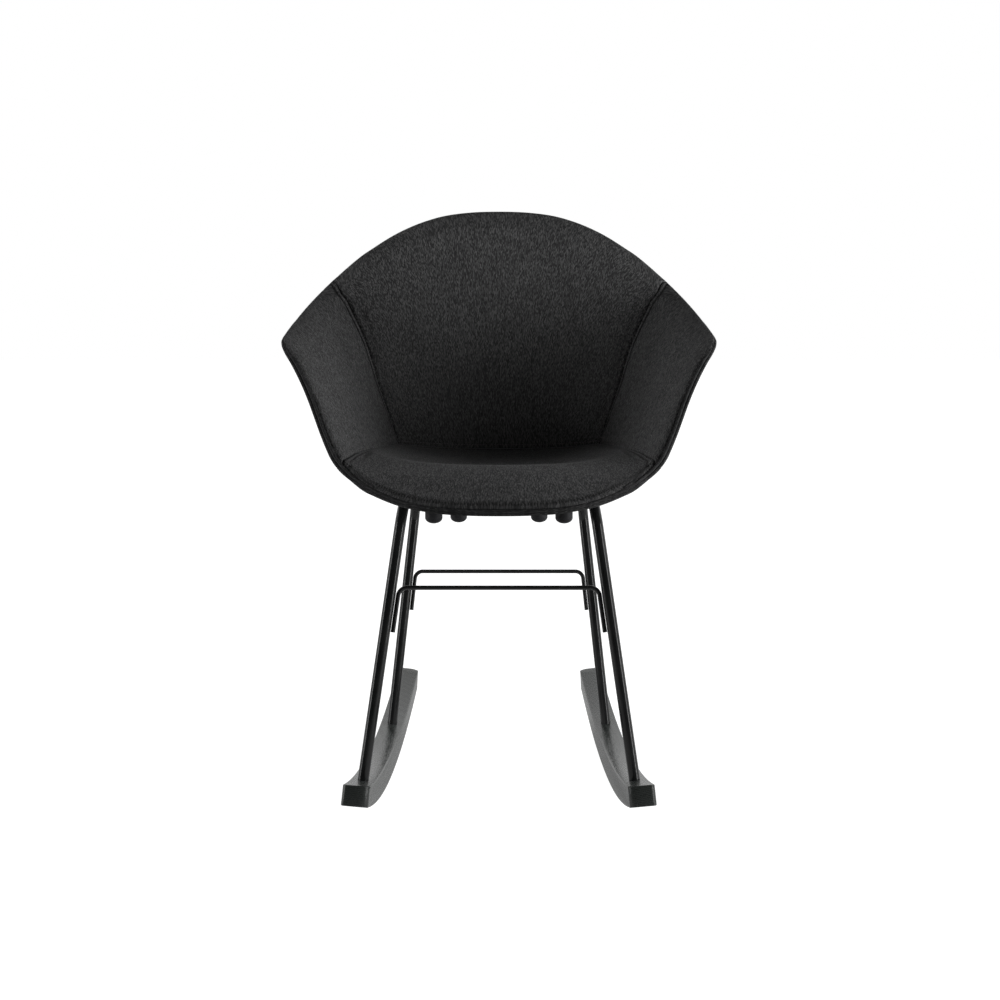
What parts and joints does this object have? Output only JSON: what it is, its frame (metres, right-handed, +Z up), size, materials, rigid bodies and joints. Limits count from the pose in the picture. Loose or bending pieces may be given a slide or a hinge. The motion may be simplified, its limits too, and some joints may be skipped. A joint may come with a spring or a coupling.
{
  "type": "upholstered rocking chair",
  "caption": "Bucket armchair upholstered in charcoal woven fabric on a bent black tube base with thin bent stretcher rods and black stained wooden rockers.",
  "frame": {"origin": "on the floor under the middle of the overall box, midway along the rockers", "axes": "+Z up, the sitter faces -Y, +X to the sitter's left; left and right in node names are as seen from the front"},
  "size_m": [0.6186, 0.6424, 0.8254],
  "materials": {
    "fabric": "matt charcoal weave",
    "foam": "open foam, hidden by the covers",
    "shell_plastic": "moulded, hidden by the covers",
    "cap_plastic": "matt black moulding",
    "black_metal": "semi-gloss black paint",
    "steel": "plain steel",
    "stained_wood": "black stain, satin, grain showing"
  },
  "bodies": {
    "root": {"seat_cover": "fabric", "back_cover": "fabric", "left_arm_cover": "fabric", "right_arm_cover": "fabric", "seat_foam": "foam", "back_foam": "foam", "left_arm_foam": "foam", "right_arm_foam": "foam", "outer_cover": "fabric", "rim_binding": "fabric", "rim_welt": "fabric", "seat_shell": "shell_plastic", "left_side_frame": "black_metal", "right_side_frame": "black_metal", "front_stretcher": "black_metal", "rear_stretcher": "black_metal", "front_cross_bar": "black_metal", "rear_cross_bar": "black_metal", "front_left_mount_bolt": "steel", "front_right_mount_bolt": "steel", "rear_left_mount_bolt": "steel", "rear_right_mount_bolt": "steel", "front_left_mount_cap": "cap_plastic", "front_right_mount_cap": "cap_plastic", "rear_left_mount_cap": "cap_plastic", "rear_right_mount_cap": "cap_plastic", "left_rocker": "stained_wood", "right_rocker": "stained_wood", "front_left_leg_plug": "steel", "front_right_leg_plug": "steel", "rear_left_leg_plug": "steel", "rear_right_leg_plug": "steel", "front_left_rocker_screw": "steel", "front_right_rocker_screw": "steel", "rear_left_rocker_screw": "steel", "rear_right_rocker_screw": "steel"}
  },
  "joints": []
}
